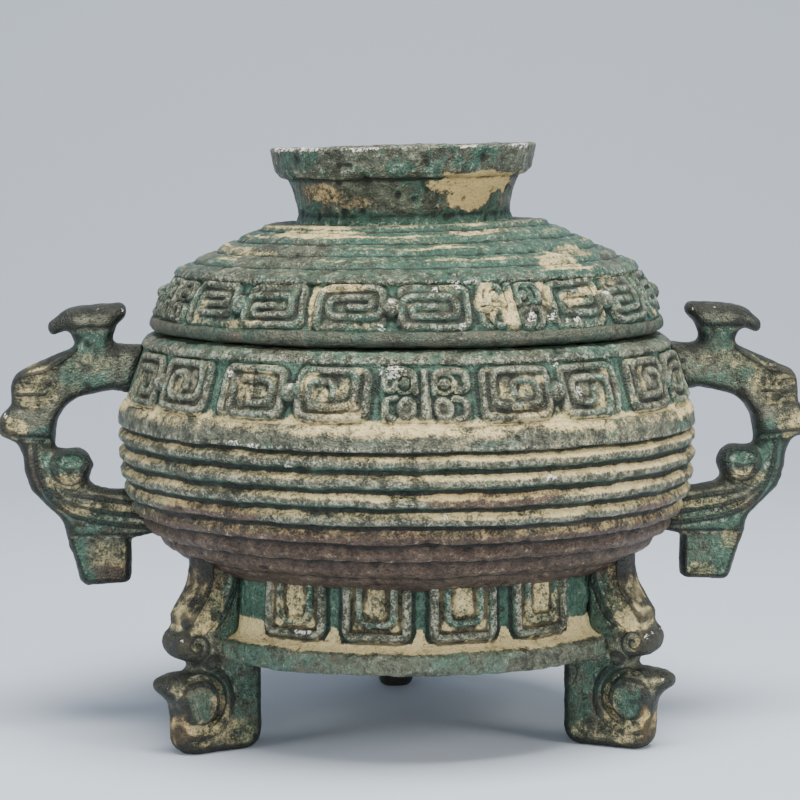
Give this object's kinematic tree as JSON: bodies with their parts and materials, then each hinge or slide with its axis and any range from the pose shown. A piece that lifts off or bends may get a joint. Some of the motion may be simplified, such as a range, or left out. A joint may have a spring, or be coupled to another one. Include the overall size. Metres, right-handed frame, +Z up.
{
  "type": "tripod incense burner",
  "caption": "Cast bronze burner: ribbed round bowl with scroll frieze on a ring foot and beast-headed legs, looped beast handles, loose domed lid with a ring knob.",
  "frame": {"origin": "on the floor, under the middle of the bowl", "axes": "+Z up; the two handles lie along X; the bowl's front mask faces -Y; one leg points to +Y"},
  "size_m": [0.1924, 0.1356, 0.1378],
  "materials": {
    "vessel_bronze": "cast bronze with dark, green and earthy patina",
    "lid_bronze": "cast bronze with green and earthy patina"
  },
  "bodies": {
    "root": {"vessel": "vessel_bronze", "lid": "lid_bronze"}
  },
  "joints": []
}
